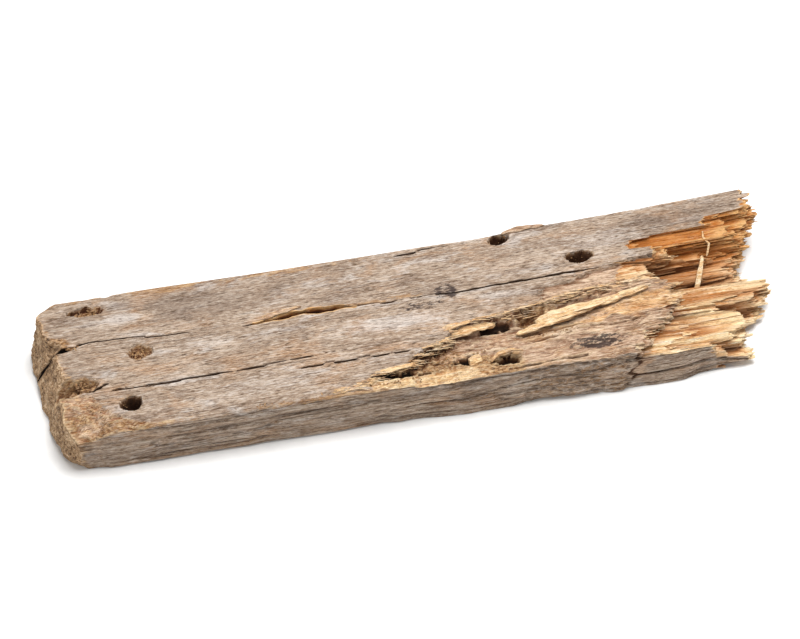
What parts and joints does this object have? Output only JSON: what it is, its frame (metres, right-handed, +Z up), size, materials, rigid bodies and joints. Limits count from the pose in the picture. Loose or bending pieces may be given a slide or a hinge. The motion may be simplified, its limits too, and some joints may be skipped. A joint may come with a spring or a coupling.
{
  "type": "rotted wood board",
  "caption": "Short length of weathered softwood board, sawn at one end and snapped into splinters at the other, with old nail holes, drying cracks and a rotted edge.",
  "frame": {"origin": "on the flat underside, midway across it, 231 mm from the sawn end and 211 mm from the longest splinter", "axes": "+X along the grain towards the snapped end, +Y across the board away from its rotted edge, +Z up out of the weathered top face"},
  "size_m": [0.4418, 0.104, 0.0385],
  "materials": {
    "weathered_wood": "grey weathered softwood, dry and rough, with fresher tan wood and brown rot where it has broken"
  },
  "bodies": {
    "root": {"rotted_board": "weathered_wood"}
  },
  "joints": []
}
